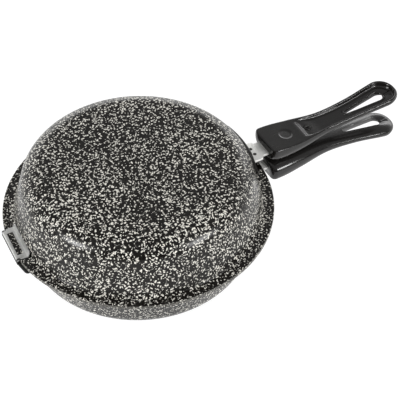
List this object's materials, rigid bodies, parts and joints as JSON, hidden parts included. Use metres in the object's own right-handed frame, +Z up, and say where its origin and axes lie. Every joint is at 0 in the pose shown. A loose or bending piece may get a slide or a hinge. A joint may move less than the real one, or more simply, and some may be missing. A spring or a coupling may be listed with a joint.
{
  "type": "double sided flip pan",
  "caption": "Round hob-top cooking pan made of deep halves that close rim to rim, hinged at the back, with a moulded handle with a hanging slot on each half.",
  "frame": {"origin": "centre of the lower half's flat base, on the surface the pan stands on", "axes": "+Z up, +X from the pan's axis towards the ends of both handles, +Y to the left seen from the hinge; the halves meet in a plane parallel to XY"},
  "size_m": [0.4271, 0.26, 0.108],
  "materials": {
    "pan_enamel": "glossy black enamel with off-white flecks",
    "bracket_enamel": "glossy black enamel",
    "rivet_metal": "plain",
    "tongue_steel": "pale satin",
    "handle_bakelite": "glossy black moulded",
    "screw_steel": "blackened",
    "hardware_zinc": "zinc plated",
    "hinge_zinc": "zinc plated",
    "hinge_black": "black paint",
    "pin_steel": "plain"
  },
  "bodies": {
    "lower_half": {"lower_pan": "pan_enamel", "lower_mount_plate": "bracket_enamel", "lower_plate_rivets": "rivet_metal", "lower_tongue": "tongue_steel", "lower_tongue_rivets": "rivet_metal", "lower_handle": "handle_bakelite", "lower_handle_screw": "screw_steel", "lower_screw_washer": "hardware_zinc", "lower_square_nut": "hardware_zinc", "hinge_leaf_lower": "hinge_black", "hinge_pin": "pin_steel"},
    "upper_half": {"upper_pan": "pan_enamel", "upper_mount_plate": "bracket_enamel", "upper_plate_rivets": "rivet_metal", "upper_tongue": "tongue_steel", "upper_tongue_rivets": "rivet_metal", "upper_handle": "handle_bakelite", "upper_handle_screw": "screw_steel", "upper_screw_washer": "hardware_zinc", "upper_square_nut": "hardware_zinc", "hinge_leaf_upper": "hinge_zinc"}
  },
  "joints": [
    {"name": "lid_hinge", "type": "hinge", "parent": "lower_half", "child": "upper_half", "pos_m": [-0.12936, 0.01018, 0.05514], "axis": [-0.0785, -0.9969, 0], "range_deg": [0, 180]}
  ]
}
